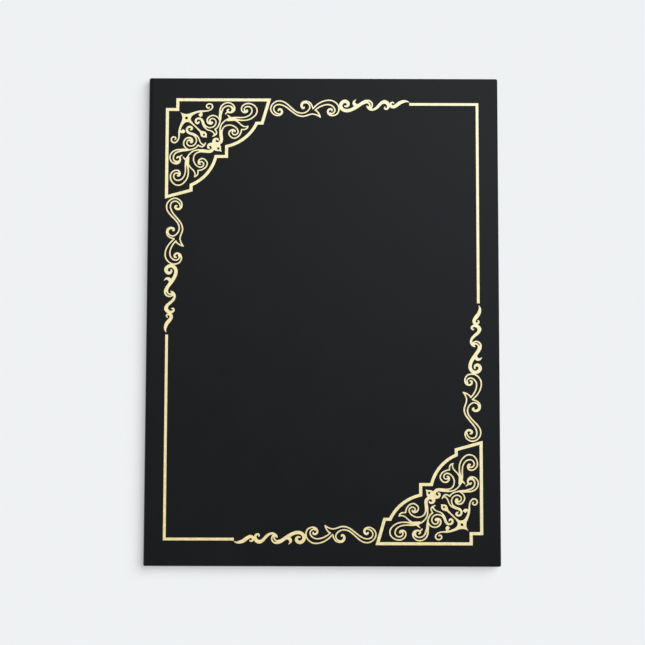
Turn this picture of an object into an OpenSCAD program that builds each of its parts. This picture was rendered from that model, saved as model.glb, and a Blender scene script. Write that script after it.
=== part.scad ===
// Certificate holder, closed like a book: two wrapped boards joined by a soft spine, with the certificate
// held on a panel inside the back cover by a ribbon across each corner, and gold foil stamped on the front.
// Millimetres. X runs from the spine to the fore edge, Y up the cover, Z from the back cover to the front.
// The origin is at the middle of the face that the closed holder lies on.

/* [Certificate] */
// Width of the certificate that the holder is made for
certificate_w = 210; // [175:1:300]
// Height of the certificate
certificate_h = 297; // [220:1:420]
// Play between the certificate and each edge of its panel
sheet_play = 0.5; // [0.2:0.1:2]
// Width of leatherette that shows beside the panel at the fore edge
fore_margin = 5; // [3:0.5:9]
// Width of leatherette that shows above and below the panel
head_margin = 7; // [3:0.5:9]
// Distance from the outside of the spine to the panel
spine_margin = 9; // [7:0.5:14]

/* [Covers] */
// Thickness of each cover board
board_t = 2; // [1.5:0.1:3.5]
// Thickness of the leatherette
wrap_t = 0.35; // [0.25:0.05:0.5]
// How far the leatherette is turned in over the inner face of each board
turn_in = 15; // [12:0.5:20]
// Radius of the wrapped edges of the covers
edge_r = 0.8; // [0.6:0.1:1]
// Radius of the covers' corners, seen from the front
corner_r = 1.2; // [1:0.1:3]

/* [Spine] */
// Height of the flat middle of the spine, between its two soft bends
spine_flat = 1.45; // [0.8:0.05:2.5]
// Distance from the end of a bend to the edge of its board
groove_w = 0.7; // [0.5:0.1:1.5]
// Thickness of the lining glued inside the spine
spine_lining_t = 0.25; // [0.15:0.05:0.4]
// How far the inner strip reaches over each board from the board's edge
strip_reach = 14; // [10:0.5:20]
// Gap between the inner strip and the turned-in edges above and below it
strip_gap = 0.2; // [0.1:0.1:1]

/* [Inside] */
// Thickness of the panel that carries the certificate
panel_t = 0.6; // [0.4:0.1:1.5]
// Thickness of the lining inside the front cover
lining_t = 0.25; // [0.2:0.05:0.8]
// Gap round the step on the back of the panel and of the lining
step_gap = 0.3; // [0.1:0.1:1]
// Width of each corner ribbon
ribbon_w = 10; // [5:0.5:16]
// Thickness of the ribbon
ribbon_t = 0.2; // [0.1:0.05:0.4]
// Distance from the panel's corner to the middle of a ribbon, along each edge
ribbon_reach = 48; // [30:1:80]
// Length of each ribbon end tucked under the panel
ribbon_tail = 7; // [4:0.5:7.5]
// Height of the slot under a ribbon, for the certificate's corner
slot_h = 0.3; // [0.2:0.1:1]
// Space between the ribbons and the front lining when closed
lid_clear = 0.3; // [0.2:0.1:1]

/* [Foil] */
// Thickness of the stamped foil
foil_t = 0.06; // [0.04:0.01:0.15]
// Distance from the cover's side edges to the ornament
foil_side_margin = 11.1; // [8:0.1:16]
// Distance from the cover's head and tail to the ornament
foil_head_margin = 13.3; // [8:0.1:16]
// Width of one square of the grid that the ornament is drawn on
grid_w = 1.035; // [0.8:0.005:1.05]
// Height of one square of that grid
grid_h = 1; // [0.8:0.005:1.05]
// Half the width of the finest nick that stays open between two drawn lines
foil_close = 0.08; // [0.02:0.01:0.1]
// How much thinner the foil is than its drawing, on each side of a line
foil_trim = 0.07; // [0.02:0.01:0.12]
// How far the scrolls at the spine and the fore edge stand out from the grid
side_scroll_out = 0.45; // [0:0.05:1]
// Width of the plain rules
rule_w = 1.7; // [1:0.1:3]
// Distance from the cover's side edges to the middle of a rule
rule_side_margin = 13.3; // [11:0.1:18]
// Distance from the cover's head and tail to the middle of a rule
rule_head_margin = 16.9; // [13:0.1:20]
// Gap between the end of a rule and the tip of the scroll beside it
rule_gap = 1.4; // [0.2:0.1:3]

/* [Hidden] */
$fn = 48;

// Overrun of every cut
cut = 1;

// Sizes of the closed holder
panel_w = certificate_w + 2 * sheet_play;
panel_h = certificate_h + 2 * sheet_play;
cover_w = spine_margin + panel_w + fore_margin;
cover_h = panel_h + 2 * head_margin;
cover_t = board_t + 2 * wrap_t;

// Heights of the layers, from the face that it lies on
panel_z = cover_t;
slot_z = panel_z + panel_t;
ribbon_z = slot_z + slot_h;
lining_z = ribbon_z + ribbon_t + lid_clear;
front_z = lining_z + lining_t;
closed_t = front_z + cover_t;

// The soft bends of the spine, and how far in from the outer faces each of them turns, so that a bend keeps
// its length and the two covers lie in one plane when the holder is open
laminate_t = wrap_t + spine_lining_t;
bend_r = (closed_t - spine_flat) / 2;
hinge_in = bend_r - PI / 4 * (bend_r - laminate_t / 2);

// Places across the width
spine_x = -cover_w / 2;
fore_x = cover_w / 2;
bend_x = spine_x + bend_r;
board_x = bend_x + groove_w;
strip_x = board_x + strip_reach;
panel_x0 = spine_x + spine_margin;
panel_x1 = panel_x0 + panel_w;
echo(hinge_x = spine_x + hinge_in, back_hinge_z = hinge_in, front_hinge_z = closed_t - hinge_in);

// Half heights of the board and of the window inside the turned-in edges
board_y = cover_h / 2 - wrap_t;
window_y = cover_h / 2 - turn_in;

// The wrapped edges stay round enough to cover the square edges of the board
wrapped_r = min(edge_r, 3 * wrap_t);

leather_colour = "#26282a";
board_colour = "#8f897c";
lining_colour = "ivory";
ribbon_colour = "#d9bd6a";
foil_colour = "gold";

// The ornament, drawn on a grid of squares with x to the right and y down from the outer lines of a corner.
// Each number is a share of a grid square: a place, or the third one the width of the line there.
// Only half of a corner is drawn: the other half is its image in the corner's diagonal.
// Each stretch of a curve is cut into this many steps, and each round end has this many sides.
steps = 3;
end_sides = 24;
line_share = 2;
half_line_share = line_share / 2;
frame_end_share = [64.3, 1];
notch_share = 7.4;
slant_foot_share = [60.0, 16.2];
arc_start_share = [56.6, 16.2];
arc_middle_share = [51.3, 24.0];
arc_end_share = [38.0, 31.4];
inner_corner_share = 38.0;

flower_edge_shares = [[8.9, 8.9], [10.5, 9.8], [12.7, 10.3], [15.0, 9.9], [16.8, 9.2]];
flower_throat_shares = [[17.2, 10.9], [16.1, 12.0], [15.6, 13.5], [15.9, 14.8], [16.6, 15.6]];
flower_eye_share = 12.95;
flower_eye_side_share = 1.5;

arm_shares = [[14.2, 11.9, 2.4], [15.6, 10.8, 2.2], [17.2, 9.9, 1.7], [19.6, 9.0, 1.45], [22.2, 8.5, 1.3],
    [24.6, 8.4, 1.0], [26.6, 8.1, 0.95], [28.3, 7.1, 1.0], [29.1, 5.6, 1.05], [28.5, 4.1, 1.0],
    [27.0, 3.6, 0.95], [25.7, 4.2, 0.95], [25.3, 5.3, 0.95], [25.9, 6.3, 0.95], [26.8, 6.3, 0.95],
    [27.0, 5.8, 0.7]];
arm_bud_shares = [[21.3, 9.0], [21.0, 10.0], [20.2, 10.9], [20.8, 11.5], [21.4, 12.3], [22.3, 12.0],
    [23.0, 11.0], [22.9, 10.0], [22.5, 9.0]];

crook_shares = [[20.7, 15.3, 0.8], [20.4, 16.0, 1.3], [19.6, 16.4, 1.4], [18.8, 15.7, 1.35],
    [18.7, 14.5, 1.35], [19.5, 13.5, 1.35], [20.9, 13.2, 1.4], [22.2, 13.9, 1.6], [23.0, 15.3, 1.7],
    [23.5, 17.0, 1.7], [24.1, 18.6, 1.3], [25.0, 19.9, 0.95], [26.4, 20.8, 0.85], [28.0, 21.3, 0.85],
    [29.3, 22.0, 0.9], [30.2, 23.1, 1.0], [30.6, 24.0, 0.9]];
whorl_outer_shares = [[33.8, 14.6, 1.0], [33.0, 13.2, 0.95], [31.9, 12.1, 0.9], [30.5, 11.4, 0.95],
    [29.0, 11.3, 0.95], [27.4, 11.9, 1.0], [26.2, 13.1, 1.1], [25.8, 14.6, 1.1], [26.2, 15.9, 1.2],
    [27.2, 16.6, 1.2], [28.4, 16.6, 1.3], [29.0, 16.0, 1.2], [28.8, 15.4, 0.8]];
whorl_inner_shares = [[23.8, 16.8, 1.1], [24.8, 18.2, 1.1], [26.3, 19.0, 0.9], [28.0, 19.2, 0.9],
    [29.8, 18.6, 0.9], [31.0, 17.2, 0.9], [31.3, 15.5, 0.9], [30.7, 14.0, 0.9], [29.4, 13.3, 0.9],
    [28.1, 13.6, 0.9], [27.4, 14.6, 1.2], [27.6, 15.6, 1.4], [28.4, 16.0, 1.0]];
first_leaf_shares = [[30.7, 20.3, 1.0], [31.4, 21.4, 0.95], [31.7, 22.7, 1.0], [31.2, 23.7, 1.1],
    [30.4, 24.3, 1.0], [29.3, 24.9, 0.8]];
crest_stem_shares = [[30.7, 20.3, 1.0], [31.9, 19.4, 0.95], [32.9, 17.9, 0.95], [33.5, 16.2, 0.95],
    [33.8, 14.5, 1.2], [33.9, 12.8, 1.6], [33.9, 10.9, 1.9], [34.1, 9.4, 1.9]];
crest_outer_shares = [[33.7, 10.0, 1.2], [33.7, 8.0, 1.1], [34.1, 6.2, 1.05], [34.9, 4.7, 1.0],
    [36.2, 3.6, 0.95], [37.7, 3.0, 0.9], [39.3, 2.9, 0.9], [40.8, 3.4, 0.9], [42.0, 4.4, 1.0],
    [42.7, 5.8, 1.1], [42.7, 7.2, 1.3], [42.0, 8.4, 1.4], [40.8, 9.1, 1.3], [39.4, 9.2, 1.2],
    [38.5, 8.6, 1.2], [38.4, 7.7, 1.1], [39.1, 7.2, 1.0]];
crest_inner_shares = [[34.5, 10.0, 1.2], [35.0, 8.3, 1.05], [35.6, 6.8, 1.0], [36.6, 5.7, 0.95],
    [38.0, 5.1, 0.95], [39.5, 5.0, 0.95], [40.9, 5.7, 1.2], [41.5, 6.6, 1.5], [41.8, 7.6, 1.7],
    [41.2, 8.4, 1.4]];
crest_flick_shares = [[38.8, 8.8, 1.2], [37.9, 9.4, 0.95], [37.2, 10.3, 0.8]];

stem_shares = [[33.6, 29.6, 1.4], [34.7, 28.4, 1.7], [34.8, 26.8, 2.0], [34.6, 25.0, 2.2],
    [34.4, 23.2, 2.2], [34.4, 21.8, 2.1]];
stem_left_shares = [[33.9, 22.5, 1.1], [33.8, 20.7, 1.05], [34.0, 19.0, 0.95], [34.6, 17.3, 0.95],
    [35.6, 15.9, 0.95], [36.9, 14.7, 0.95], [38.3, 13.9, 1.1], [39.6, 13.3, 1.6]];
branch_bud_shares = [[38.4, 11.0, 0.6], [39.3, 11.7, 1.0], [40.0, 12.6, 1.4], [40.3, 13.4, 1.6]];
volute_inner_shares = [[40.3, 13.2, 1.6], [42.0, 12.8, 1.4], [44.0, 12.6, 1.1], [46.5, 12.6, 0.95],
    [49.0, 12.4, 0.9], [51.2, 11.6, 0.9], [52.8, 10.3, 0.95], [53.6, 8.6, 0.95], [53.5, 7.0, 0.95],
    [52.6, 5.8, 0.95], [51.1, 5.3, 0.95], [49.7, 5.7, 0.95], [48.9, 6.8, 0.95], [49.1, 8.1, 1.2],
    [49.9, 8.6, 1.2]];
volute_outer_shares = [[38.6, 14.4, 1.2], [40.6, 14.0, 1.8], [43.0, 13.9, 1.7], [45.5, 14.2, 1.1],
    [48.0, 14.4, 0.95], [50.5, 14.2, 0.95], [52.8, 13.4, 0.95], [54.8, 12.0, 0.95], [56.3, 10.2, 0.95],
    [56.8, 8.3, 0.95], [56.4, 6.3, 0.95], [55.2, 4.8, 0.95], [53.4, 3.7, 0.95], [51.3, 3.3, 0.95],
    [49.3, 3.7, 0.95], [47.8, 4.9, 0.95], [47.1, 6.4, 0.95], [47.2, 7.9, 1.0], [48.2, 9.0, 1.1],
    [49.5, 9.2, 1.2], [50.6, 8.6, 1.3], [50.6, 7.7, 1.1]];
second_leaf_shares = [[43.6, 14.6, 1.0], [44.9, 15.4, 0.9], [46.2, 16.6, 0.9], [47.4, 17.7, 0.9],
    [48.8, 18.4, 0.85], [50.3, 18.5, 0.8], [51.3, 18.1, 0.7]];
second_leaf_back_shares = [[51.3, 18.1, 0.6], [50.9, 19.1, 0.9], [50.0, 20.0, 0.95], [48.7, 20.4, 0.9],
    [47.2, 20.4, 0.9]];
coil_outer_shares = [[47.2, 20.4, 0.9], [47.0, 21.8, 0.9], [46.5, 23.2, 0.95], [45.5, 24.7, 0.95],
    [44.1, 25.7, 0.95], [42.5, 26.1, 0.95], [41.0, 25.5, 0.95], [39.8, 24.3, 0.95], [39.4, 22.9, 0.95],
    [39.9, 21.6, 1.1], [41.0, 20.8, 1.2], [42.2, 20.7, 1.3], [43.1, 21.3, 1.1], [43.1, 21.9, 0.8]];
coil_inner_shares = [[34.9, 22.6, 1.2], [35.1, 21.0, 1.0], [35.7, 19.5, 0.9], [36.8, 18.3, 0.9],
    [38.3, 17.7, 0.9], [40.1, 17.5, 0.9], [42.0, 18.0, 0.9], [43.7, 19.1, 0.9], [44.8, 20.6, 0.95],
    [45.1, 22.0, 0.95], [44.4, 23.3, 0.95], [43.0, 23.9, 0.95], [41.8, 23.3, 0.9], [41.4, 22.3, 0.9],
    [41.9, 21.4, 1.2]];

knot_curl_shares = [[31.0, 30.6, 2.6], [30.3, 29.4, 2.4], [30.1, 28.1, 2.1], [30.5, 27.0, 1.8],
    [31.5, 26.5, 1.4], [32.4, 26.7, 1.3], [32.7, 27.4, 0.9]];
knot_edge_shares = [[29.6, 29.6], [30.6, 28.3], [31.5, 28.4], [32.3, 28.8], [33.1, 28.4], [33.6, 27.4],
    [34.6, 27.4], [34.9, 28.8], [34.3, 29.7]];
knot_tail_shares = [[33.9, 30.5], [34.4, 31.3], [34.6, 32.5], [34.6, 33.5], [34.8, 34.3], [35.2, 35.2]];
knot_eye_share = 32.85;
knot_eye_d_share = 1.45;
pin_shares = [[15.6, 15.6, 1.3], [17.5, 17.5, 1.0], [19.5, 19.5, 1.0], [21.3, 21.3, 1.3]];
pin_edge_shares = [[20.6, 19.9], [22.0, 21.1], [23.8, 21.6], [25.0, 22.2], [25.6, 23.3], [25.6, 24.5],
    [25.8, 25.8]];
pin_eye_share = 23.85;
pin_eye_d_share = 1.3;

strip_upper_shares = [[70.1, 8.0, 1.0], [70.3, 7.3, 1.4], [71.3, 7.0, 1.5], [72.2, 8.0, 1.5],
    [72.2, 9.4, 1.5], [71.3, 10.5, 1.4], [69.8, 11.1, 1.1], [68.0, 10.8, 0.95], [66.5, 9.7, 0.95],
    [65.5, 8.1, 0.95], [65.3, 6.3, 0.95], [65.9, 4.5, 0.95], [67.1, 3.0, 0.95], [68.8, 1.9, 0.95],
    [70.7, 1.6, 0.95], [72.7, 1.9, 0.95], [74.6, 2.9, 0.95], [76.4, 4.4, 1.0], [78.2, 6.1, 1.0],
    [80.0, 7.7, 1.0], [81.8, 8.9, 1.0], [83.7, 9.5, 1.0], [85.6, 9.5, 0.95], [87.4, 8.8, 0.95],
    [88.9, 7.5, 0.95], [89.7, 5.8, 0.95], [89.3, 4.1, 0.95], [88.3, 2.9, 1.2], [87.0, 2.3, 1.7],
    [85.7, 2.5, 1.8], [84.7, 3.6, 1.7], [84.5, 5.0, 1.6], [85.1, 6.1, 1.5], [85.9, 6.2, 1.4],
    [86.2, 5.7, 1.0]];
strip_lower_shares = [[71.0, 10.2, 1.0], [69.6, 9.9, 0.95], [68.2, 9.1, 0.95], [67.3, 7.8, 0.95],
    [67.2, 6.2, 0.95], [68.0, 4.8, 0.95], [69.4, 4.1, 0.95], [71.2, 4.0, 0.95], [73.1, 4.6, 0.95],
    [74.9, 5.6, 1.0], [76.6, 6.9, 1.0], [78.3, 8.3, 1.0], [80.1, 9.7, 1.0], [82.0, 10.9, 1.0],
    [84.0, 11.5, 1.0], [86.0, 11.6, 1.0], [88.0, 11.0, 1.0], [89.8, 10.4, 0.95], [91.5, 10.1, 0.95],
    [93.2, 10.5, 0.95], [94.8, 11.2, 0.95], [96.0, 12.3, 0.5]];
strip_thorn_shares = [[86.8, 1.8, 1.0], [88.4, 1.9, 0.95], [89.8, 2.8, 0.95], [90.8, 4.3, 0.95],
    [91.4, 6.0, 0.9], [91.6, 6.8, 0.6]];
crescent_outer_shares = [[91.6, 6.7, 0.8], [92.7, 5.4, 0.95], [94.3, 3.9, 0.95], [96.2, 2.6, 0.95],
    [98.4, 1.6, 0.95], [100.8, 1.1, 0.95], [103.1, 1.2, 0.95], [105.1, 2.1, 0.95], [106.7, 3.6, 0.95],
    [107.7, 5.6, 1.0], [107.7, 7.8, 1.0], [106.9, 9.7, 1.0], [105.3, 10.8, 1.0], [103.5, 11.1, 1.1],
    [101.8, 10.4, 1.3], [100.9, 9.0, 1.3], [101.1, 7.6, 1.3], [102.2, 6.8, 1.3], [103.3, 7.1, 1.3],
    [103.4, 7.9, 1.0]];
crescent_inner_shares = [[93.1, 7.6, 1.2], [94.2, 6.5, 0.95], [95.9, 5.4, 0.95], [97.8, 4.5, 0.95],
    [99.8, 4.0, 0.95], [101.8, 4.0, 0.95], [103.6, 4.8, 0.95], [104.9, 6.2, 0.95], [105.3, 7.8, 0.95],
    [104.6, 9.2, 0.95], [103.3, 9.9, 1.0], [102.2, 9.5, 1.2]];
crescent_leaf_shares = [[93.1, 7.5, 1.0], [94.4, 8.6, 0.95], [95.3, 9.9, 0.95], [95.9, 11.2, 0.95],
    [96.3, 12.4, 0.5]];
wave_shares = [[111.4, 4.9, 1.0], [112.4, 5.1, 1.3], [113.4, 4.3, 1.8], [113.5, 2.9, 2.1],
    [112.2, 1.8, 2.2], [110.6, 1.9, 2.3], [109.2, 3.2, 2.2], [108.9, 5.0, 2.2], [109.8, 6.8, 2.2],
    [111.8, 7.8, 2.2], [114.0, 7.7, 2.2], [116.2, 6.9, 2.2], [118.5, 5.5, 2.4], [120.9, 3.9, 2.2],
    [123.0, 2.5, 2.3], [124.8, 2.0, 2.3]];
wave_leaf_shares = [[119.8, 4.7, 2.2], [118.4, 4.4, 2.2], [117.3, 3.4, 2.1], [117.1, 2.2, 1.6],
    [117.6, 1.3, 1.0], [118.4, 0.5, 0.3]];
wave_lip_shares = [[123.8, 1.5, 1.4], [126.1, 1.2, 1.2], [127.8, 2.1, 1.1], [128.6, 3.8, 1.0],
    [128.1, 5.4, 1.1], [127.2, 6.5, 1.3]];
wave_fold_shares = [[124.0, 2.3, 1.2], [125.7, 2.6, 1.1], [126.9, 3.6, 1.1], [127.0, 5.0, 1.2],
    [126.6, 6.2, 1.4]];
ripple_shares = [[125.2, 4.8, 0.7], [125.9, 5.7, 1.6], [126.8, 6.6, 1.7], [128.1, 7.2, 1.5],
    [129.7, 6.9, 1.6], [131.3, 5.9, 1.8], [132.8, 4.3, 1.9], [134.2, 2.8, 2.0], [135.9, 2.0, 2.4],
    [137.4, 2.4, 2.4], [138.5, 3.8, 2.2], [138.6, 5.3, 1.7], [137.9, 6.5, 1.4], [136.9, 6.7, 1.3],
    [136.2, 6.1, 1.1], [136.4, 5.4, 0.7]];
last_ripple_shares = [[141.9, 2.9, 0.8], [141.3, 2.3, 0.9], [140.4, 2.6, 1.2], [139.9, 3.6, 1.5],
    [140.1, 4.6, 2.0], [141.4, 5.3, 2.1], [142.9, 4.8, 2.2], [144.5, 3.6, 2.4], [146.2, 2.4, 2.3],
    [148.0, 1.8, 2.0], [149.8, 1.6, 1.3], [151.4, 2.2, 0.5]];
strip_end_share = 151.6;

corner_line_shares = [arm_shares, crook_shares, whorl_outer_shares, whorl_inner_shares, first_leaf_shares,
    crest_stem_shares, crest_outer_shares, crest_inner_shares, crest_flick_shares, stem_shares,
    stem_left_shares, branch_bud_shares, volute_inner_shares, volute_outer_shares, second_leaf_shares,
    second_leaf_back_shares, coil_outer_shares, coil_inner_shares, knot_curl_shares];
strip_line_shares = [strip_upper_shares, strip_lower_shares, strip_thorn_shares, crescent_outer_shares,
    crescent_inner_shares, crescent_leaf_shares, wave_shares, wave_leaf_shares, wave_lip_shares,
    wave_fold_shares, ripple_shares, last_ripple_shares];

// A smooth curve through the points of a list, with each stretch cut in equal steps
function between(a, b, c, d, t) =
    (2 * b + (c - a) * t + (2 * a - 5 * b + 4 * c - d) * t * t + (3 * b - a - 3 * c + d) * t * t * t) / 2;
function smooth(points) =
    let (last = len(points) - 1)
    concat([for (i = [0 : last - 1]) for (k = [0 : steps - 1])
        between(points[max(i - 1, 0)], points[i], points[i + 1], points[min(i + 2, last)], k / steps)],
        [points[last]]);

// One side of a line of changing width, seen along its middle
function flat(p) = [p.x, p.y];
function heading(line, i) =
    let (d = flat(line[min(i + 1, len(line) - 1)]) - flat(line[max(i - 1, 0)]))
    d / norm(d);
function side(line, hand) =
    [for (i = [0 : len(line) - 1])
        let (d = heading(line, i))
        flat(line[i]) + hand * line[i].z / 2 * [d.y, -d.x]];
function backwards(list) = [for (i = [len(list) - 1 : -1 : 0]) list[i]];

// Places on the grid, in millimetres, for a shape or for its image in the diagonal
function on_grid(points, flipped) =
    [for (p = points) flipped ? [p.y * grid_w, -p.x * grid_h] : [p.x * grid_w, -p.y * grid_h]];
function swapped(points) = [for (p = points) [p.y, p.x]];
function both_halves(points) = concat(points, backwards(swapped(points)));

// An arc through three points
function arc_centre(a, b, c) =
    let (p = a * a,
        q = b * b,
        r = c * c,
        x = p * (b.y - c.y) + q * (c.y - a.y) + r * (a.y - b.y),
        y = p * (c.x - b.x) + q * (a.x - c.x) + r * (b.x - a.x))
    [x, y] / (2 * (a.x * (b.y - c.y) + b.x * (c.y - a.y) + c.x * (a.y - b.y)));
function arc(a, b, c, count) =
    let (o = arc_centre(a, b, c),
        from = atan2(a.y - o.y, a.x - o.x),
        to = atan2(c.y - o.y, c.x - o.x))
    [for (k = [0 : count])
        let (turn = from + (to - from) * k / count)
        o + norm(a - o) * [cos(turn), sin(turn)]];

// The border of a corner: a closed line of even width, with mitred corners
arc_steps = 14;
border_half = concat(
    [[notch_share, notch_share], [notch_share, half_line_share], frame_end_share, slant_foot_share],
    arc(arc_start_share, arc_middle_share, arc_end_share, arc_steps),
    [[inner_corner_share, inner_corner_share]]);
border_loop = concat(border_half,
    [for (i = [len(border_half) - 2 : -1 : 1]) [border_half[i].y, border_half[i].x]]);
function mitre(loop, i, offset) =
    let (n = len(loop),
        a = loop[(i + n - 1) % n],
        b = loop[i],
        c = loop[(i + 1) % n],
        d = (b - a) / norm(b - a),
        e = (c - b) / norm(c - b),
        m = [d.y + e.y, -d.x - e.x])
    b + offset * 2 * m / (m * m);
function grown(loop, offset) = [for (i = [0 : len(loop) - 1]) mitre(loop, i, offset)];

module line_2d(shares, flipped) {
    line = smooth(shares);
    left = side(line, 1);
    right = side(line, -1);
    for (i = [0 : len(line) - 2])
        polygon(on_grid([left[i], left[i + 1], right[i + 1], right[i]], flipped));
    for (end = [line[0], line[len(line) - 1]])
        translate(on_grid([end], flipped)[0]) circle(d = end.z * grid_h, $fn = end_sides);
}

// The edges of the foil: the drawn lines with their finest nicks closed, a little thinner on each side
module foil_edges() {
    offset(delta = -foil_close - foil_trim) offset(delta = foil_close) children();
}

module on_diagonal(share) {
    translate([share * grid_w, -share * grid_h]) children();
}

module corner_2d() {
    foil_edges() {
        difference() {
            polygon(on_grid(grown(border_loop, half_line_share), false));
            polygon(on_grid(grown(border_loop, -half_line_share), false));
        }
        difference() {
            union() {
                for (flipped = [false, true]) {
                    for (shares = corner_line_shares) line_2d(shares, flipped);
                    polygon(on_grid(smooth(arm_bud_shares), flipped));
                }
                line_2d(pin_shares, false);
                for (half = [concat(smooth(flower_edge_shares), smooth(flower_throat_shares)),
                             concat(smooth(knot_edge_shares), smooth(knot_tail_shares)),
                             smooth(pin_edge_shares)])
                    polygon(on_grid(both_halves(half), false));
            }
            on_diagonal(flower_eye_share) square(flower_eye_side_share * grid_h, center = true);
            on_diagonal(knot_eye_share) circle(d = knot_eye_d_share * grid_h, $fn = end_sides);
            on_diagonal(pin_eye_share) circle(d = pin_eye_d_share * grid_h, $fn = end_sides);
        }
    }
}

module scroll_2d(flipped) {
    translate([flipped ? -side_scroll_out : 0, 0]) foil_edges()
        for (shares = strip_line_shares) line_2d(shares, flipped);
}

// The plain rules, each an L of even width, from the tip of one scroll to just short of another
module rule_2d() {
    x0 = spine_x + foil_side_margin + strip_end_share * grid_w;
    x1 = fore_x - rule_side_margin + rule_w / 2;
    y0 = -cover_h / 2 + foil_head_margin + strip_end_share * grid_h + rule_gap;
    y1 = cover_h / 2 - rule_head_margin + rule_w / 2;
    translate([x0, y1 - rule_w]) square([x1 - x0, rule_w]);
    translate([x1 - rule_w, y0]) square([rule_w, y1 - y0]);
}

module at_upper_corner() {
    translate([spine_x + foil_side_margin, cover_h / 2 - foil_head_margin]) children();
}

module foil() {
    color(foil_colour) translate([0, 0, closed_t]) linear_extrude(foil_t) children();
}

// The outline of a cover from a line across it to the fore edge, drawn in on its three outer sides
module cover_plan(from_x, inset) {
    r = corner_r - inset;
    x1 = fore_x - inset;
    y1 = cover_h / 2 - inset;
    translate([from_x, r - y1]) square([x1 - from_x, 2 * (y1 - r)]);
    translate([from_x, -y1]) square([x1 - r - from_x, 2 * y1]);
    for (hand = [-1, 1])
        translate([x1 - r, hand * (y1 - r)]) circle(r);
}

// The section of a cover's edge: a bar with its outer end round at both faces
module edge_section(length) {
    translate([-cut, 0]) square([length + cut - wrapped_r, cover_t]);
    translate([-cut, wrapped_r]) square([length + cut, cover_t - 2 * wrapped_r]);
    for (z = [wrapped_r, cover_t - wrapped_r])
        translate([length - wrapped_r, z]) circle(wrapped_r);
}

// A section drawn in X and Z, made as long as the cover is high
module along_cover(length) {
    translate([0, length / 2, 0]) rotate([90, 0, 0]) linear_extrude(length) children();
}

// The outside of one wrapped cover, lying with its outer face down
module cover_body() {
    intersection() {
        linear_extrude(cover_t) cover_plan(bend_x, 0);
        along_cover(cover_h + 2 * cut) translate([bend_x, 0]) edge_section(fore_x - bend_x);
        translate([bend_x - cut, 0, 0]) rotate([90, 0, 90]) linear_extrude(fore_x - bend_x + 2 * cut)
            for (hand = [0, 1]) mirror([hand, 0]) edge_section(cover_h / 2);
    }
}

module cover_board() {
    translate([0, 0, wrap_t]) linear_extrude(board_t) cover_plan(board_x, wrap_t);
}

// Leatherette over the outer face, turned in over the board on three sides. Beside the spine only its
// outer layer goes on, as the floor of the groove.
module cover_wrap() {
    difference() {
        cover_body();
        translate([0, 0, wrap_t]) linear_extrude(board_t) cover_plan(bend_x - cut, wrap_t);
        translate([bend_x - cut, -window_y, wrap_t])
            cube([fore_x - turn_in - bend_x + cut, 2 * window_y, cover_t]);
        translate([bend_x - cut, -cover_h / 2 - cut, wrap_t])
            cube([groove_w + cut, cover_h + 2 * cut, cover_t]);
    }
}

// Strip of leatherette over the board's edge at the spine, down that edge and along the floor of the groove
module inner_strip() {
    leg_x = board_x - wrap_t;
    leg_y = board_y - strip_gap;
    strip_y = window_y - strip_gap;
    translate([leg_x, -strip_y, wrap_t + board_t]) cube([strip_x - leg_x, 2 * strip_y, wrap_t]);
    translate([leg_x, -leg_y, wrap_t]) cube([wrap_t, 2 * leg_y, board_t + wrap_t]);
    translate([bend_x, -leg_y, wrap_t]) cube([board_x - bend_x, 2 * leg_y, spine_lining_t]);
}

// Sheet that lies on the turned-in edges, with a step on its back that fills the window between them
module stepped_sheet(t) {
    step_x0 = strip_x + step_gap;
    step_x1 = fore_x - turn_in - step_gap;
    step_y = window_y - step_gap;
    translate([panel_x0, -panel_h / 2, panel_z]) cube([panel_w, panel_h, t]);
    translate([step_x0, -step_y, panel_z - wrap_t]) cube([step_x1 - step_x0, 2 * step_y, wrap_t + t / 2]);
}

// The front cover is the back cover seen in a mirror half way up the closed holder
module in_front() {
    translate([0, 0, closed_t]) mirror([0, 0, 1]) children();
}

module back_board() { color(board_colour) cover_board(); }
module back_wrap() { color(leather_colour) cover_wrap(); }
module back_inner_strip() { color(leather_colour) inner_strip(); }
module front_board() { color(board_colour) in_front() cover_board(); }
module front_wrap() { color(leather_colour) in_front() cover_wrap(); }
module front_inner_strip() { color(leather_colour) in_front() inner_strip(); }
module front_lining() { color(lining_colour) in_front() stepped_sheet(lining_t); }

// Ribbon across one corner of the panel, drawn with both sides running inwards from the corner. It goes
// over each edge of the panel at a slant and is tucked under it, so its ends run on away from the corner.
ribbon_lo = ribbon_reach - ribbon_w / sqrt(2);
ribbon_hi = ribbon_reach + ribbon_w / sqrt(2);
ribbon_band = [[-ribbon_t, ribbon_lo + ribbon_t], [-ribbon_t, ribbon_hi + ribbon_t],
    [ribbon_hi + ribbon_t, -ribbon_t], [ribbon_lo + ribbon_t, -ribbon_t]];
ribbon_side = [[0, ribbon_lo], [0, ribbon_hi],
    [-ribbon_t, ribbon_hi + ribbon_t], [-ribbon_t, ribbon_lo + ribbon_t]];
ribbon_end = [[-ribbon_t, ribbon_lo + ribbon_t], [-ribbon_t, ribbon_hi + ribbon_t], [0, ribbon_hi],
    [ribbon_tail, ribbon_hi + ribbon_tail], [ribbon_tail, ribbon_lo + ribbon_tail], [0, ribbon_lo]];

// A shape drawn from a corner of the panel, with hands of 1 for the fore edge and for the head
module at_panel_corner(fore, head, points) {
    corner = [fore > 0 ? panel_x1 : panel_x0, head * panel_h / 2];
    polygon([for (p = points) corner - [fore * p.x, head * p.y]]);
}

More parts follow.
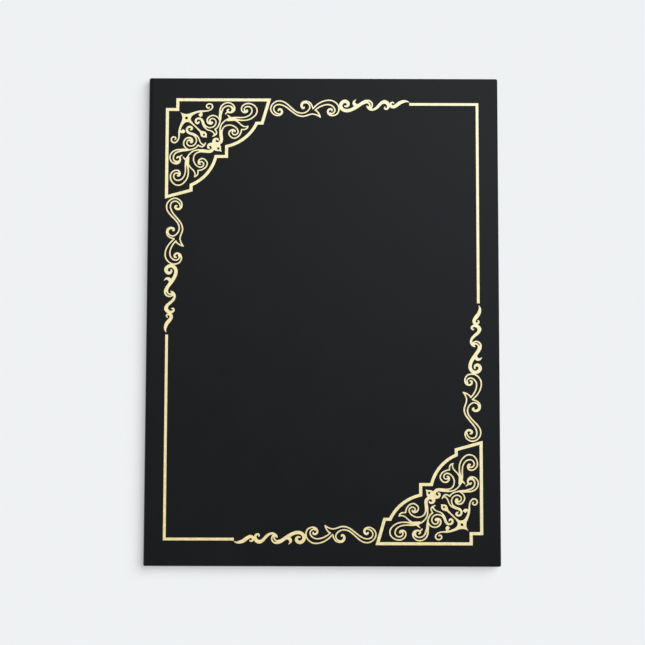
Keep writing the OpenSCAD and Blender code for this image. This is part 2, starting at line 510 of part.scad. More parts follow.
// The sides stand on the ends and carry the band
module corner_ribbon(fore, head) {
    side_z = panel_z + ribbon_t;
    color(ribbon_colour) {
        translate([0, 0, ribbon_z]) linear_extrude(ribbon_t) at_panel_corner(fore, head, ribbon_band);
        for (swap = [false, true]) {
            side_points = swap ? swapped(ribbon_side) : ribbon_side;
            end_points = swap ? swapped(ribbon_end) : ribbon_end;
            translate([0, 0, side_z]) linear_extrude(ribbon_z - side_z)
                at_panel_corner(fore, head, side_points);
            translate([0, 0, panel_z]) linear_extrude(ribbon_t) at_panel_corner(fore, head, end_points);
        }
    }
}

module ribbon_head_fore() { corner_ribbon(1, 1); }
module ribbon_head_spine() { corner_ribbon(-1, 1); }
module ribbon_tail_fore() { corner_ribbon(1, -1); }
module ribbon_tail_spine() { corner_ribbon(-1, -1); }

// The panel has a recess on its back for each ribbon end
module certificate_panel() {
    color(lining_colour) difference() {
        stepped_sheet(panel_t);
        for (fore = [-1, 1], head = [-1, 1], swap = [false, true])
            translate([0, 0, panel_z - cut]) linear_extrude(cut + ribbon_t)
                at_panel_corner(fore, head, swap ? swapped(ribbon_end) : ribbon_end);
    }
}

// The spine: leatherette outside, lining inside, and a soft bend of both at each cover
module spine_layer(x, t) {
    translate([x, -cover_h / 2, bend_r]) cube([t, cover_h, spine_flat]);
}
module soft_bend() {
    along_cover(cover_h) translate([bend_x, bend_r]) difference() {
        intersection() {
            circle(bend_r);
            translate([-bend_r, -bend_r]) square(bend_r);
        }
        circle(bend_r - laminate_t);
    }
}

module spine_wrap() { color(leather_colour) spine_layer(spine_x, wrap_t); }
module spine_lining() { color(leather_colour) spine_layer(spine_x + wrap_t, spine_lining_t); }
module back_joint() { color(leather_colour) soft_bend(); }
module front_joint() { color(leather_colour) in_front() soft_bend(); }

// The foil: the lower corner and its scrolls and rule are the upper ones after half a turn
module foil_corner_upper() { foil() at_upper_corner() corner_2d(); }
module foil_corner_lower() { foil() rotate(180) at_upper_corner() corner_2d(); }
module foil_scroll_top() { foil() at_upper_corner() scroll_2d(false); }
module foil_scroll_left() { foil() at_upper_corner() scroll_2d(true); }
module foil_scroll_right() { foil() rotate(180) at_upper_corner() scroll_2d(true); }
module foil_scroll_bottom() { foil() rotate(180) at_upper_corner() scroll_2d(false); }
module foil_rule_upper() { foil() rule_2d(); }
module foil_rule_lower() { foil() rotate(180) rule_2d(); }

back_board();
back_wrap();
back_inner_strip();
certificate_panel();
ribbon_head_fore();
ribbon_head_spine();
ribbon_tail_fore();
ribbon_tail_spine();
spine_wrap();
spine_lining();
back_joint();
front_joint();
front_board();
front_wrap();
front_inner_strip();
front_lining();
foil_corner_upper();
foil_corner_lower();
foil_scroll_top();
foil_scroll_left();
foil_scroll_right();
foil_scroll_bottom();
foil_rule_upper();
foil_rule_lower();
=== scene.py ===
"""A certificate holder, closed and lying on its back cover.

It is made like a book: two boards wrapped in black leatherette, joined by a soft spine. Inside the back
cover a lined panel carries the certificate under four corner ribbons, and inside the front cover lies a
sheet of lining. The front is stamped with scrollwork corners, scrolls and rules in gold foil.
"""
import math

import bmesh
import bpy
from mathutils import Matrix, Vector


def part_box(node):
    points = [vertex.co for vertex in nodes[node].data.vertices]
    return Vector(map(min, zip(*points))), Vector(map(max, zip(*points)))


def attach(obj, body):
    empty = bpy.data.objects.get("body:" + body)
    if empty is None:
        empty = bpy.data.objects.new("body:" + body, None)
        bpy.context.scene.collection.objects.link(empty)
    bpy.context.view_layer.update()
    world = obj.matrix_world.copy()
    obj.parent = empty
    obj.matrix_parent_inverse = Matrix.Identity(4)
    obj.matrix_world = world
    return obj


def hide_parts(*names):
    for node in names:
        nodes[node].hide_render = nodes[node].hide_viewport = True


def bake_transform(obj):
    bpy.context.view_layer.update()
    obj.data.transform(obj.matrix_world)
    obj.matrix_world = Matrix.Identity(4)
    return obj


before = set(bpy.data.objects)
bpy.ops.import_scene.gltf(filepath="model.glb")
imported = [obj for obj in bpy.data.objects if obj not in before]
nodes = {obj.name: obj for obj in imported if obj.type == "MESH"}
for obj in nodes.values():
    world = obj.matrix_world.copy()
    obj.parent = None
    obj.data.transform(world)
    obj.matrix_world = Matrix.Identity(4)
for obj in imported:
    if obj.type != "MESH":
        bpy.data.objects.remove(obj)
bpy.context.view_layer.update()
MM = 0.001

# The camera stands over the tail half of the cover and looks down at it, nearly square on. Its focal
# length is given in pixels of a picture 645 pixels wide.
CAMERA_PLACE = Vector((-1.7, -83.2, 935.3)) * MM
CAMERA_TURN = (4.981, -0.112, 0.144)
FOCAL_PIXELS = 1463.6
PICTURE_PIXELS = 645

camera_data = bpy.data.cameras.new("camera")
camera_data.lens = camera_data.sensor_width * FOCAL_PIXELS / PICTURE_PIXELS
camera = bpy.data.objects.new("camera", camera_data)
camera.location = CAMERA_PLACE
camera.rotation_euler = [math.radians(turn) for turn in CAMERA_TURN]
bpy.context.scene.collection.objects.link(camera)
bpy.context.scene.camera = camera
bpy.context.scene.view_settings.view_transform = "Standard"

# A wide soft light stands over the head and the fore edge, so the shadow falls past the spine and the
# tail. It is kept out of reflections, which see the dome instead.
KEY_DIRECTION = Vector((0.736, 0.446, 1.0))
KEY_WIDTH = 56.6
KEY_STRENGTH = 4.05

key_data = bpy.data.lights.new("key", "SUN")
key_data.energy = KEY_STRENGTH
key_data.angle = math.radians(KEY_WIDTH)
key = bpy.data.objects.new("key", key_data)
key.rotation_euler = KEY_DIRECTION.to_track_quat("Z", "Y").to_euler()
key.visible_glossy = False
bpy.context.scene.collection.objects.link(key)

# The dome: faint for diffuse light, and in reflections a slightly cool room, dimmer low down, with a large
# soft box overhead, a faint one past the spine and a dim patch round the camera. The camera sees the dome
# as the pale backdrop.
BACKDROP = (0.863, 0.880, 0.896, 1.0)
DOME_COLOUR = (0.955, 1.0, 1.06, 1.0)
DOME_DIFFUSE = 0.023
ROOM_LEVEL = 1.13
ROOM_LOW = 0.5
ROOM_EVEN_ABOVE = 0.6
BOX_DIRECTION = Vector((0.169, 0.275, 0.946)).normalized()
BOX_STRENGTH = 1.984
BOX_POWER = 28.7
PATCH_DIRECTION = Vector((-0.002, -0.104, 1.0)).normalized()
PATCH_STRENGTH = -0.406
PATCH_POWER = 8.0
SIDE_DIRECTION = Vector((-0.30, 0.05, 1.0)).normalized()
SIDE_STRENGTH = 0.22
SIDE_POWER = 25.0


def node_maker(tree):
    """A function that adds a node of a kind to the tree, with its inputs set or linked by name or place."""
    def make(kind, inputs=None, **settings):
        node = tree.nodes.new(kind)
        for name, value in settings.items():
            setattr(node, name, value)
        for name, value in (inputs or {}).items():
            if isinstance(value, bpy.types.NodeSocket):
                tree.links.new(value, node.inputs[name])
            else:
                node.inputs[name].default_value = value
        return node
    return make


world = bpy.data.worlds.new("studio")
bpy.context.scene.world = world
world.use_nodes = True
world.node_tree.nodes.clear()
make = node_maker(world.node_tree)
ray = make("ShaderNodeLightPath")
direction = make("ShaderNodeTexCoord").outputs["Generated"]
height = make("ShaderNodeSeparateXYZ", {0: direction}).outputs["Z"]
reflected = make("ShaderNodeMapRange",
    {0: height, 1: 0.0, 2: ROOM_EVEN_ABOVE, 3: ROOM_LOW, 4: ROOM_LEVEL}).outputs[0]
for centre, strength, power in (
        (BOX_DIRECTION, BOX_STRENGTH, BOX_POWER),
        (PATCH_DIRECTION, PATCH_STRENGTH, PATCH_POWER),
        (SIDE_DIRECTION, SIDE_STRENGTH, SIDE_POWER)):
    towards = make("ShaderNodeVectorMath", {0: direction, 1: centre}, operation="DOT_PRODUCT")
    ahead = make("ShaderNodeMath", {0: towards.outputs["Value"], 1: 0.0}, operation="MAXIMUM")
    lobe = make("ShaderNodeMath", {0: ahead.outputs[0], 1: power}, operation="POWER")
    reflected = make("ShaderNodeMath", {0: lobe.outputs[0], 1: strength, 2: reflected},
        operation="MULTIPLY_ADD").outputs[0]
level = make("ShaderNodeMix", {0: ray.outputs["Is Glossy Ray"], 2: DOME_DIFFUSE, 3: reflected})
dome = make("ShaderNodeBackground", {"Color": DOME_COLOUR, "Strength": level.outputs[0]})
backdrop = make("ShaderNodeBackground", {"Color": BACKDROP})
seen = make("ShaderNodeMixShader",
    {0: ray.outputs["Is Camera Ray"], 1: dome.outputs[0], 2: backdrop.outputs[0]})
make("ShaderNodeOutputWorld", {"Surface": seen.outputs[0]})

# The floor is plain and pale. To the camera and in reflections part of its paleness is its own light, so the
# shadow on it stays light.
FLOOR_SIZE = 12.0
OWN_LIGHT = 0.486


def new_material(name):
    """An empty node material and the function that adds its nodes."""
    material = bpy.data.materials.new(name)
    material.use_nodes = True
    material.node_tree.nodes.clear()
    return material, node_maker(material.node_tree)


def share_of(colour, share):
    """A colour made darker, with its full opacity."""
    return [channel * share for channel in colour[:3]] + [1.0]


floor_finish, make = new_material("floor")
lit = make("ShaderNodeBsdfDiffuse", {"Color": share_of(BACKDROP, 1 - OWN_LIGHT)})
own = make("ShaderNodeEmission", {"Color": share_of(BACKDROP, OWN_LIGHT)})
ray = make("ShaderNodeLightPath")
shows = make("ShaderNodeMath", {0: ray.outputs["Is Camera Ray"], 1: ray.outputs["Is Glossy Ray"]},
    operation="MAXIMUM")
shown = make("ShaderNodeMixShader", {0: shows.outputs[0], 2: own.outputs[0]})
both = make("ShaderNodeAddShader", {0: lit.outputs[0], 1: shown.outputs[0]})
make("ShaderNodeOutputMaterial", {"Surface": both.outputs[0]})
bpy.ops.mesh.primitive_plane_add(size=FLOOR_SIZE)
floor = bpy.context.object
floor.name = "floor"
floor.data.materials.append(floor_finish)

# The two cover boards are greyboard: pressed waste paper, matt, with short fibres and specks. They are cut
# square, and the leatherette, the strips, the panel and the lining hide them all round.
SPECK_SIZE = 1.2 * MM
FIBRE_SIZE = 0.3 * MM
FIBRE_DEPTH = 0.02 * MM
BOARD_DARK = (0.17, 0.155, 0.13, 1)
BOARD_PALE = (0.33, 0.30, 0.255, 1)
BOARD_ROUGH = 0.92
BOARD_SHINE = 0.25


def object_place(make):
    """The place of each point in the shared frame."""
    return make("ShaderNodeTexCoord").outputs["Object"]


def noise(make, place, size, detail=2.0):
    """A random pattern between 0 and 1 whose patches have this size."""
    return make("ShaderNodeTexNoise", {"Vector": place, "Scale": 1 / size, "Detail": detail}).outputs[0]


def spread(make, pattern, low, high, from_low=0.3, from_high=0.7):
    """A range of the pattern, its middle one unless told otherwise, stretched between two values."""
    inputs = {0: pattern, 1: from_low, 2: from_high, 3: low, 4: high}
    return make("ShaderNodeMapRange", inputs).outputs[0]


def mixed(make, share, first, second):
    """A colour between two others, by a pattern from 0 to 1."""
    return make("ShaderNodeMix", {0: share, 6: first, 7: second}, data_type="RGBA").outputs[2]


def raised(make, height, depth, over=None):
    """The normals of a surface raised by a pattern, over those of a coarser pattern."""
    inputs = {"Height": height, "Distance": depth}
    if over:
        inputs["Normal"] = over
    return make("ShaderNodeBump", inputs).outputs[0]


def surface(make, inputs):
    """The material's shader, with these inputs."""
    bsdf = make("ShaderNodeBsdfPrincipled", inputs)
    make("ShaderNodeOutputMaterial", {"Surface": bsdf.outputs[0]})


def set_finish(piece, finish):
    """Gives a piece one material all over."""
    piece.data.materials.clear()
    piece.data.materials.append(finish)


greyboard, make = new_material("greyboard")
place = object_place(make)
specks = spread(make, noise(make, place, SPECK_SIZE, detail=4.0), 0.0, 1.0, from_low=0.35, from_high=0.65)
fibres = noise(make, place, FIBRE_SIZE, detail=4.0)
surface(make, {"Base Color": mixed(make, specks, BOARD_DARK, BOARD_PALE), "Roughness": BOARD_ROUGH,
    "Specular IOR Level": BOARD_SHINE, "Normal": raised(make, fibres, FIBRE_DEPTH)})
for name in ("back_board", "front_board"):
    set_finish(nodes[name], greyboard)

# The leatherette of the covers is paper-backed vinyl, near black with a fine pebble grain. It is glued over
# the outer face of each board, wrapped round its three free edges and turned in over the inner face,
# with a mitre at each fore corner. Beside the spine only the outer layer goes on, as the groove's floor.
GRAIN_SIZE = 0.8 * MM
WRINKLE_SIZE = 2.2 * MM
UNEVEN_SIZE = 18 * MM
GRAIN_DEPTH = 0.03 * MM
WRINKLE_DEPTH = 0.02 * MM
UNEVEN_DEPTH = 0.02 * MM
LEATHER_DEEP = (0.0012, 0.0016, 0.0023, 1)
LEATHER_PALE = (0.0022, 0.0026, 0.0033, 1)
LEATHER_ROUGH = (0.16, 0.20)
LEATHER_IOR = 1.225
WRAP_T = 0.35 * MM
TURN_IN = 15 * MM
CORNER_R = 1.2 * MM
EDGE_R = 0.8 * MM
EDGE_HOLD = 0.6 * MM
MITRE_W = 0.36 * MM
MITRE_DEPTH = 0.1 * MM
NEAR = 0.005 * MM
SMOOTH_UNDER = math.radians(35)

cover_low, cover_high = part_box("back_wrap")
board_low, board_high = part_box("back_board")
closed_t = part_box("front_wrap")[1].z
window_y = cover_high.y - TURN_IN
window_x = cover_high.x - TURN_IN


def pebble_grain(make, place, depth):
    """The normals of fine pebbles on shallow wrinkles on an uneven board. Bare leatherette has depth 1."""
    uneven = raised(make, noise(make, place, UNEVEN_SIZE), UNEVEN_DEPTH)
    wrinkled = raised(make, noise(make, place, WRINKLE_SIZE), WRINKLE_DEPTH * depth, uneven)
    pebbles = make("ShaderNodeTexVoronoi", {"Vector": place, "Scale": 1 / GRAIN_SIZE}).outputs[0]
    return raised(make, pebbles, GRAIN_DEPTH * depth, wrinkled)


leatherette, make = new_material("leatherette")
place = object_place(make)
patches = spread(make, noise(make, place, UNEVEN_SIZE, detail=4.0), 0.0, 1.0)
surface(make, {"Base Color": mixed(make, patches, LEATHER_DEEP, LEATHER_PALE),
    "Roughness": spread(make, noise(make, place, UNEVEN_SIZE, detail=3.0), *LEATHER_ROUGH),
    "IOR": LEATHER_IOR, "Normal": pebble_grain(make, place, depth=1.0)})


def start_editing(name):
    """Names the active piece and opens its mesh."""
    piece = bpy.context.object
    piece.name = piece.data.name = name
    bpy.ops.object.mode_set(mode="EDIT")
    return piece


def shape_from(name, size):
    """The primitive that was just added, one metre wide, made this size and ready to be edited."""
    bpy.context.object.scale = size
    bpy.ops.object.transform_apply(location=True, rotation=True, scale=True)
    return start_editing(name)


def add_block(name, low, high):
    """A block between two corners, ready to be edited."""
    bpy.ops.object.select_all(action="DESELECT")
    bpy.ops.mesh.primitive_cube_add(size=1, location=(low + high) / 2)
    return shape_from(name, high - low)


def work_on(piece):
    """Makes a piece the only selected one and the active one."""
    bpy.ops.object.select_all(action="DESELECT")
    piece.select_set(True)
    bpy.context.view_layer.objects.active = piece


def pick(kind, wanted):
    """Selects the vertices, edges or faces that pass a test, and nothing else."""
    bpy.ops.mesh.select_mode(type=kind)
    bpy.ops.mesh.select_all(action="DESELECT")
    mesh = bpy.context.object.data
    shape = bmesh.from_edit_mesh(mesh)
    for item in {"VERT": shape.verts, "EDGE": shape.edges, "FACE": shape.faces}[kind]:
        item.select_set(bool(wanted(item)))
    shape.select_flush_mode()
    bmesh.update_edit_mesh(mesh)


def level_at(item, axis, place):
    """Whether a whole edge or face lies at one place on an axis."""
    return all(abs(vertex.co[axis] - place) < NEAR for vertex in item.verts)


def middle(item):
    """The mean place of an edge's or a face's corners."""
    return sum((vertex.co for vertex in item.verts), Vector()) / len(item.verts)


def cut(place, normal):
    """Cuts what is selected along a plane and takes nothing away."""
    bpy.ops.mesh.bisect(plane_co=place, plane_no=normal, threshold=NEAR / 10)


def cut_at(axis, *places):
    """Cuts the whole mesh at places on an axis."""
    for place in places:
        bpy.ops.mesh.select_all(action="SELECT")
        point, normal = Vector(), Vector()
        point[axis], normal[axis] = place, 1
        cut(point, normal)


def round_edges(wanted, radius, segments, kind="EDGE"):
    """Rounds the edges that pass a test, or the corners of a flat shape."""
    pick(kind, wanted)
    affected = {"EDGE": "EDGES", "VERT": "VERTICES"}[kind]
    bpy.ops.mesh.bevel(offset=radius, segments=segments, profile=0.5, affect=affected)


def close_editing():
    """Merges doubles, turns every face outwards and leaves the mesh."""
    bpy.ops.mesh.select_all(action="SELECT")
    bpy.ops.mesh.remove_doubles(threshold=NEAR / 10)
    bpy.ops.mesh.normals_make_consistent(inside=False)
    bpy.ops.object.mode_set(mode="OBJECT")


def mirrored_copy(piece, name, mirror_axis, twice_middle):
    """A copy with its own mesh, seen in a mirror across one axis, and with its faces outwards again."""
    work_on(piece)
    bpy.ops.object.duplicate()
    copy = bpy.context.object
    copy.location[mirror_axis] = twice_middle
    copy.scale[mirror_axis] = -1
    bpy.ops.object.transform_apply(location=True, rotation=True, scale=True)
    start_editing(name)
    close_editing()
    return copy


def thicken(piece, thickness):
    """Gives a surface its thickness, inwards from its outer face."""
    work_on(piece)
    wall = piece.modifiers.new("wall", "SOLIDIFY")
    wall.thickness = thickness
    wall.offset = -1
    wall.use_even_offset = True
    bpy.ops.object.modifier_apply(modifier=wall.name)


def finish_piece(piece, finish, slot, *stands_for):
    """Gives a made piece its shading and material, in the place of the CAD nodes that it stands for."""
    work_on(piece)
    bpy.ops.object.shade_smooth_by_angle(angle=SMOOTH_UNDER)
    set_finish(piece, finish)
    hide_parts(*stands_for)


def groove_mitres(piece, inner_z, outwards):
    """Presses a fine groove along the mitre of both fore corners, on the inner face at this height."""
    work_on(piece)
    bpy.ops.object.mode_set(mode="EDIT")
    for hand in (-1, 1):
        corner = Vector((cover_high.x, hand * cover_high.y, inner_z))
        across = Vector((1, -hand, 0)).normalized()
        for step in (-1, 0, 1):
            pick("FACE", lambda face: level_at(face, 2, inner_z) and hand * middle(face).y > 0)
            cut(corner + across * step * MITRE_W / 2, across)
        pick("VERT", lambda vertex: abs((vertex.co - corner).dot(across)) < NEAR
            and abs(vertex.co.z - inner_z) < NEAR and vertex.co.x > window_x - NEAR
            and hand * vertex.co.y > window_y - NEAR)
        bpy.ops.transform.translate(value=(0, 0, -outwards * MITRE_DEPTH))
    bpy.ops.object.mode_set(mode="OBJECT")


back_cover = add_block("back_leatherette", cover_low, cover_high)
round_edges(lambda edge: level_at(edge, 0, cover_high.x) and not level_at(edge, 2, edge.verts[0].co.z),
    CORNER_R, segments=6)
pick("FACE", lambda face: level_at(face, 0, cover_low.x))
bpy.ops.mesh.delete(type="FACE")
round_edges(lambda edge: not level_at(edge, 0, cover_low.x)
    and (level_at(edge, 2, cover_low.z) or level_at(edge, 2, cover_high.z)), EDGE_R, segments=5)
cut_at(0, board_low.x, window_x)
cut_at(1, -window_y, window_y)
# A cut just inside the rounded edges keeps the broad faces flat in the shading.
flat_x = cover_high.x - EDGE_R - EDGE_HOLD
flat_y = cover_high.y - EDGE_R - EDGE_HOLD
cut_at(0, flat_x)
cut_at(1, -flat_y, flat_y)
pick("FACE", lambda face: middle(face).x < board_low.x)
cut((0, 0, WRAP_T), (0, 0, 1))
pick("FACE", lambda face: middle(face).x < board_low.x and middle(face).z > WRAP_T)
bpy.ops.mesh.delete(type="FACE")
pick("FACE", lambda face: level_at(face, 2, cover_high.z) and middle(face).x < window_x
    and abs(middle(face).y) < window_y)
bpy.ops.mesh.delete(type="FACE")
close_editing()
front_cover = mirrored_copy(back_cover, "front_leatherette", 2, closed_t)
for cover, inner_z, outwards, wrap, body in (
        (back_cover, cover_high.z, 1, "back_wrap", "back_cover"),
        (front_cover, closed_t - cover_high.z, -1, "front_wrap", "front_cover")):
    thicken(cover, WRAP_T)
    groove_mitres(cover, inner_z, outwards)
    finish_piece(cover, leatherette, "leatherette", wrap)
    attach(cover, body)

# A strip of the same leatherette covers each board's edge at the spine. It lies on the inner face under the
# panel or the lining, folds down over the edge and runs along the groove's floor to the bend.
LEG_GAP = 0.2 * MM
FOLD_R = 0.22 * MM
strip_low, strip_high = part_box("back_inner_strip")
leg_x = board_low.x - WRAP_T
leg_foot_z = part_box("spine_lining")[1].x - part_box("spine_lining")[0].x + WRAP_T
strip_y = window_y - LEG_GAP

back_strip = add_block("back_inner_leatherette", Vector((leg_x, strip_low.y, strip_low.z)),
    Vector((board_low.x, strip_high.y, strip_high.z)))
cut_at(1, -strip_y, strip_y)
cut_at(2, leg_foot_z, board_high.z)
pick("FACE", lambda face: level_at(face, 0, board_low.x) and middle(face).z > board_high.z
    and abs(middle(face).y) < strip_y)
bpy.ops.mesh.extrude_region_move(TRANSFORM_OT_translate={"value": (strip_high.x - board_low.x, 0, 0)})
pick("FACE", lambda face: level_at(face, 0, leg_x) and middle(face).z < leg_foot_z)
bpy.ops.mesh.extrude_region_move(TRANSFORM_OT_translate={"value": (strip_low.x - leg_x, 0, 0)})
round_edges(lambda edge: level_at(edge, 0, leg_x) and level_at(edge, 2, strip_high.z),
    FOLD_R, segments=4)
close_editing()
front_strip = mirrored_copy(back_strip, "front_inner_leatherette", 2, closed_t)
for strip, stands_for, body in ((back_strip, "back_inner_strip", "back_cover"),
        (front_strip, "front_inner_strip", "front_cover")):
    finish_piece(strip, leatherette, "leatherette", stands_for)
    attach(strip, body)

# The spine is leatherette and lining glued together without a board: a flat middle, and a soft bend to each
# cover. Its ends are turned in at the head and the tail, so they are round.
END_R = 0.55 * MM
END_SEGMENTS = 4
BEND_STEPS = 24
bend_low, bend_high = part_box("back_joint")
bend_r = bend_high.z
laminate_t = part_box("spine_lining")[1].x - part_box("spine_wrap")[0].x

spine_middle = add_block("spine_leatherette", Vector((bend_low.x, bend_low.y, bend_r)),
    Vector((bend_low.x + laminate_t, bend_high.y, closed_t - bend_r)))
round_edges(lambda edge: level_at(edge, 0, bend_low.x) and not level_at(edge, 2, edge.verts[0].co.z),
    END_R, segments=END_SEGMENTS)
cut_at(1, -flat_y, flat_y)
close_editing()
finish_piece(spine_middle, leatherette, "leatherette", "spine_wrap", "spine_lining")
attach(spine_middle, "spine")

bpy.ops.object.select_all(action="DESELECT")
bpy.ops.mesh.primitive_plane_add(size=1, location=(bend_high.x, 0, laminate_t / 2),
    rotation=(0, math.radians(90), 0))
back_bend = shape_from("back_bend", (laminate_t, bend_high.y - bend_low.y, 1))
round_edges(lambda vertex: abs(vertex.co.z) < NEAR, END_R, segments=END_SEGMENTS, kind="VERT")
cut_at(1, -flat_y, flat_y)
bpy.ops.mesh.select_all(action="SELECT")
bpy.ops.mesh.spin(steps=BEND_STEPS, angle=math.radians(-90), center=(bend_high.x, 0, bend_r),
    axis=(0, 1, 0))
close_editing()
front_bend = mirrored_copy(back_bend, "front_bend", 2, closed_t)
finish_piece(back_bend, leatherette, "leatherette", "back_joint")
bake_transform(back_bend)
finish_piece(front_bend, leatherette, "leatherette", "front_joint")
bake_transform(front_bend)

# The certificate panel and the front lining are board and card covered in ivory moire paper, glued in over
# the turned-in edges. The watered pattern is pressed in: paler, glossier contour lines on fine ribs, which
# fade in and out and are drawn out along the cover.
MOIRE_SIZE = 26 * MM
MOIRE_BAND = 0.016
MOIRE_STRETCH = (1, 0.2, 1)
FADE_SIZE = 40 * MM
FADE_LEAST = 0.15
RIB_SIZE = 0.5 * MM
RIB_DEPTH = 0.02 * MM
RIB_WOBBLE = 0.6
# A wave texture repeats after this length at a scale of 1.
WAVE_LENGTH = 0.314
IVORY_DEEP = (0.68, 0.625, 0.49, 1)
IVORY_PALE = (0.78, 0.73, 0.60, 1)
LINING_ROUGH = (0.62, 0.42)
LINING_SHINE = 0.4


def stretched(make, place, scale=(1, 1, 1), turn=0.0):
    """Places scaled and turned in the cover's plane. A scale under 1 draws a pattern out that way."""
    inputs = {"Vector": place, "Scale": scale, "Rotation": (0, 0, turn)}
    return make("ShaderNodeMapping", inputs).outputs[0]


def waves(make, place, length, axis="X", wobble=0.0):
    """Bands between 0 and 1 that repeat along an axis after this length, straight or a little wobbly."""
    inputs = {"Vector": place, "Scale": WAVE_LENGTH / length, "Distortion": wobble}
    return make("ShaderNodeTexWave", inputs, bands_direction=axis).outputs[1]


lining, make = new_material("moire_lining")
place = object_place(make)
long_place = stretched(make, place, MOIRE_STRETCH)
contour_lines = waves(make, noise(make, long_place, MOIRE_SIZE), MOIRE_BAND)
fade = spread(make, noise(make, long_place, FADE_SIZE), FADE_LEAST, 1.0)
water = make("ShaderNodeMath", {0: contour_lines, 1: fade}, operation="MULTIPLY").outputs[0]
ribs = waves(make, place, RIB_SIZE, "Y", RIB_WOBBLE)
surface(make, {"Base Color": mixed(make, water, IVORY_DEEP, IVORY_PALE),
    "Roughness": spread(make, water, *LINING_ROUGH, from_low=0.0, from_high=1.0),
    "Specular IOR Level": LINING_SHINE, "Normal": raised(make, ribs, RIB_DEPTH)})
for name in ("certificate_panel", "front_lining"):
    set_finish(nodes[name], lining)

# The corner ribbons are gold satin, 10 mm wide. Each is stretched across a corner of the panel, folded over
# its two edges at a slant and glued to its back before the panel goes in.
RIBBON_W = 10 * MM
RIBBON_T = 0.2 * MM
RIBBON_TAIL = 7 * MM
RIBBON_FOLD_R = 0.24 * MM
RIBBON_BOW = 0.15 * MM
RIBBON_SPARE = 30 * MM
RIBBON_CUTS = 11
SELVEDGE_W = 0.7 * MM
SELVEDGE_STEP_W = 0.21 * MM
SELVEDGE_DEPTH = 0.05 * MM
STREAK_SIZE = 0.44 * MM
STREAK_STRETCH = (0.02, 1, 1)
YARN_SIZE = 0.22 * MM
YARN_DEPTH = 0.01 * MM
YARN_WOBBLE = 0.8
SATIN_DEEP = (0.53, 0.36, 0.10, 1)
SATIN_PALE = (0.62, 0.44, 0.14, 1)
SATIN_ROUGH = (0.30, 0.45)
SATIN_SHINE = 0.8
SATIN_SHEEN = 0.3

panel_low, panel_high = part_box("certificate_panel")
ribbon_low, ribbon_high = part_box("ribbon_head_fore")
ribbon_reach = panel_high.x - ribbon_low.x - RIBBON_TAIL - RIBBON_W / math.sqrt(2)
ribbon_drop = ribbon_high.z - ribbon_low.z

panel_middle = Vector((panel_low.x + panel_high.x, panel_low.y + panel_high.y, 0)) / 2
ribbon_centre = Vector((panel_high.x - ribbon_reach / 2, panel_high.y - ribbon_reach / 2, ribbon_high.z))
centre_line = (ribbon_centre - panel_middle).dot(Vector((1, 1, 0)).normalized())

# The satin's yarns run along all four ribbons alike: places are folded about the panel's middle and turned,
# so that X runs along each ribbon and Y across it. The selvedges are a little higher and rougher.
satin, make = new_material("gold_satin")
from_middle = make("ShaderNodeVectorMath", {0: object_place(make), 1: panel_middle}, operation="SUBTRACT")
folded = make("ShaderNodeVectorMath", {0: from_middle.outputs[0]}, operation="ABSOLUTE")
place = stretched(make, folded.outputs[0], turn=math.radians(45))
across = make("ShaderNodeSeparateXYZ", {0: place}).outputs["Y"]
off_centre = make("ShaderNodeMath", {0: across, 1: centre_line}, operation="SUBTRACT").outputs[0]
from_centre = make("ShaderNodeMath", {0: off_centre}, operation="ABSOLUTE").outputs[0]
selvedge_from = RIBBON_W / 2 - SELVEDGE_W
selvedge = spread(make, from_centre, 0.0, 1.0, selvedge_from - SELVEDGE_STEP_W, selvedge_from)
streaks = noise(make, stretched(make, place, STREAK_STRETCH), STREAK_SIZE, detail=3.0)
yarns = waves(make, place, YARN_SIZE, "Y", YARN_WOBBLE)
surface(make, {"Base Color": mixed(make, spread(make, streaks, 0.0, 1.0), SATIN_DEEP, SATIN_PALE),
    "Roughness": spread(make, selvedge, *SATIN_ROUGH, from_low=0.0, from_high=1.0),
    "Specular IOR Level": SATIN_SHINE, "Sheen Weight": SATIN_SHEEN, "Sheen Roughness": 0.3,
    "Normal": raised(make, yarns, YARN_DEPTH, raised(make, selvedge, SELVEDGE_DEPTH))})


def edge_line(axis, place, height):
    """A test for the edges that lie at one place on an axis and at one height."""
    return lambda edge: level_at(edge, axis, place) and level_at(edge, 2, height)


bpy.ops.object.select_all(action="DESELECT")
bpy.ops.mesh.primitive_plane_add(size=1, location=ribbon_centre, rotation=(0, 0, math.radians(-45)))
first_ribbon = shape_from("corner_ribbon_head_fore",
    (ribbon_reach * math.sqrt(2) + RIBBON_SPARE, RIBBON_W, 1))
fold_x = panel_high.x + RIBBON_T
fold_y = panel_high.y + RIBBON_T
# Its spare length is cut off at the panel's two edges, and its middle sinks a little onto the panel.
for point, normal in (((fold_x, 0, 0), (1, 0, 0)), ((0, fold_y, 0), (0, 1, 0))):
    bpy.ops.mesh.select_all(action="SELECT")
    bpy.ops.mesh.bisect(plane_co=point, plane_no=normal, clear_outer=True, threshold=NEAR / 10)
bpy.ops.mesh.select_all(action="SELECT")
bpy.ops.mesh.subdivide(number_cuts=RIBBON_CUTS)
ribbon_run = Vector((1, -1, 0)).normalized()
pick("VERT", lambda vertex: abs((vertex.co - ribbon_centre).dot(ribbon_run)) < RIBBON_W / 4)
bpy.ops.transform.translate(value=(0, 0, -RIBBON_BOW), use_proportional_edit=True,
    proportional_edit_falloff="SMOOTH", proportional_size=ribbon_reach / 2)
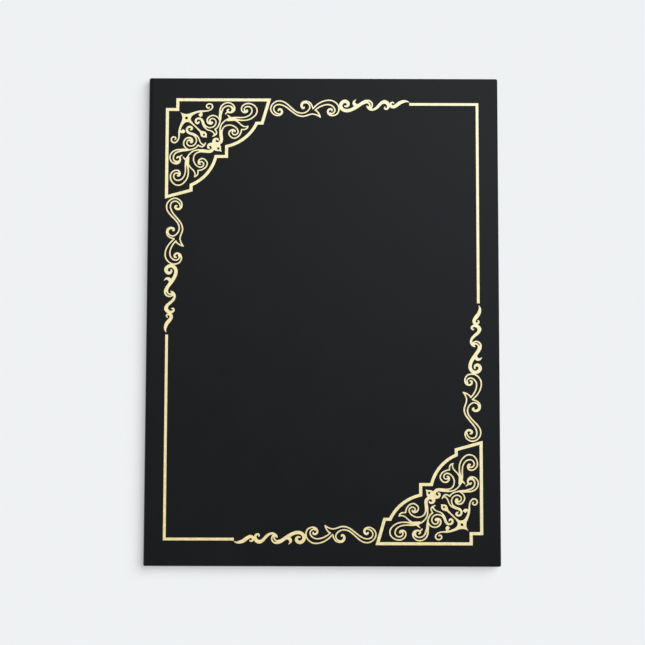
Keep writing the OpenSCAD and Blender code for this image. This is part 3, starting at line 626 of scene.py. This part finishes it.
# Both ends go down over the panel's edges, and then in under it at the slant that the folds give them.
for axis, fold in ((0, fold_x), (1, fold_y)):
    pick("EDGE", edge_line(axis, fold, ribbon_high.z))
    bpy.ops.mesh.extrude_region_move(TRANSFORM_OT_translate={"value": (0, 0, -ribbon_drop)})
    tuck = Vector((RIBBON_T - RIBBON_TAIL, RIBBON_T - RIBBON_TAIL, 0))
    tuck[axis] -= 2 * RIBBON_T
    pick("EDGE", edge_line(axis, fold, ribbon_low.z))
    bpy.ops.mesh.extrude_region_move(TRANSFORM_OT_translate={"value": tuck})
for height in (ribbon_high.z, ribbon_low.z):
    round_edges(lambda edge: edge_line(0, fold_x, height)(edge) or edge_line(1, fold_y, height)(edge),
        RIBBON_FOLD_R, segments=3)
close_editing()

ribbons = {"head_fore": first_ribbon,
    "tail_fore": mirrored_copy(first_ribbon, "corner_ribbon_tail_fore", 1, 0)}
for end in ("head", "tail"):
    ribbons[end + "_spine"] = mirrored_copy(ribbons[end + "_fore"], "corner_ribbon_" + end + "_spine", 0,
        2 * panel_middle.x)
for place_name, ribbon in ribbons.items():
    thicken(ribbon, RIBBON_T)
    finish_piece(ribbon, satin, "ribbon", "ribbon_" + place_name)
    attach(ribbon, "back_cover")

# The border is gold foil, stamped hot into the front cover: scrollwork corners at the spine and the head and
# at the fore edge and the tail, with scrolls and plain rules between them. The grain shows through. The gold
# is painted warmer towards the tail and the spine and paler towards the head, as painted shade and
# highlight.
FOIL_PATCH = 2.4 * MM
FOIL_DEEP = (0.666, 0.616, 0.378, 1)
FOIL_PALE = (0.826, 0.784, 0.519, 1)
# Painted shade and highlight: a warmer gold towards the tail and the spine, a paler one towards the head.
FOIL_PAINTED_SHADE_DEEP = (0.666, 0.524, 0.242, 1)
FOIL_PAINTED_SHADE_PALE = (0.826, 0.668, 0.332, 1)
FOIL_PAINTED_LIGHT_TURN = math.radians(40)
FOIL_PAINTED_LIGHT_REACH = 170 * MM
FOIL_ROUGH = (0.40, 0.48)
FOIL_GRAIN = 1.2

foil, make = new_material("gold_foil")
place = object_place(make)
patches = spread(make, noise(make, place, FOIL_PATCH, detail=3.0), 0.0, 1.0)
# The painted shade and highlight run along this turned axis, warm at the tail end and pale at the head end.
turned_place = stretched(make, place, turn=FOIL_PAINTED_LIGHT_TURN)
towards_head = make("ShaderNodeSeparateXYZ", {0: turned_place}).outputs["Y"]
gold = mixed(make, spread(make, towards_head, 0.0, 1.0, -FOIL_PAINTED_LIGHT_REACH, FOIL_PAINTED_LIGHT_REACH),
    mixed(make, patches, FOIL_PAINTED_SHADE_DEEP, FOIL_PAINTED_SHADE_PALE), mixed(make, patches, FOIL_DEEP, FOIL_PALE))
surface(make, {"Base Color": gold, "Metallic": 1.0,
    "Roughness": spread(make, noise(make, place, FOIL_PATCH), *FOIL_ROUGH),
    "Normal": pebble_grain(make, place, FOIL_GRAIN)})
for name in nodes:
    if name.startswith("foil_"):
        set_finish(nodes[name], foil)
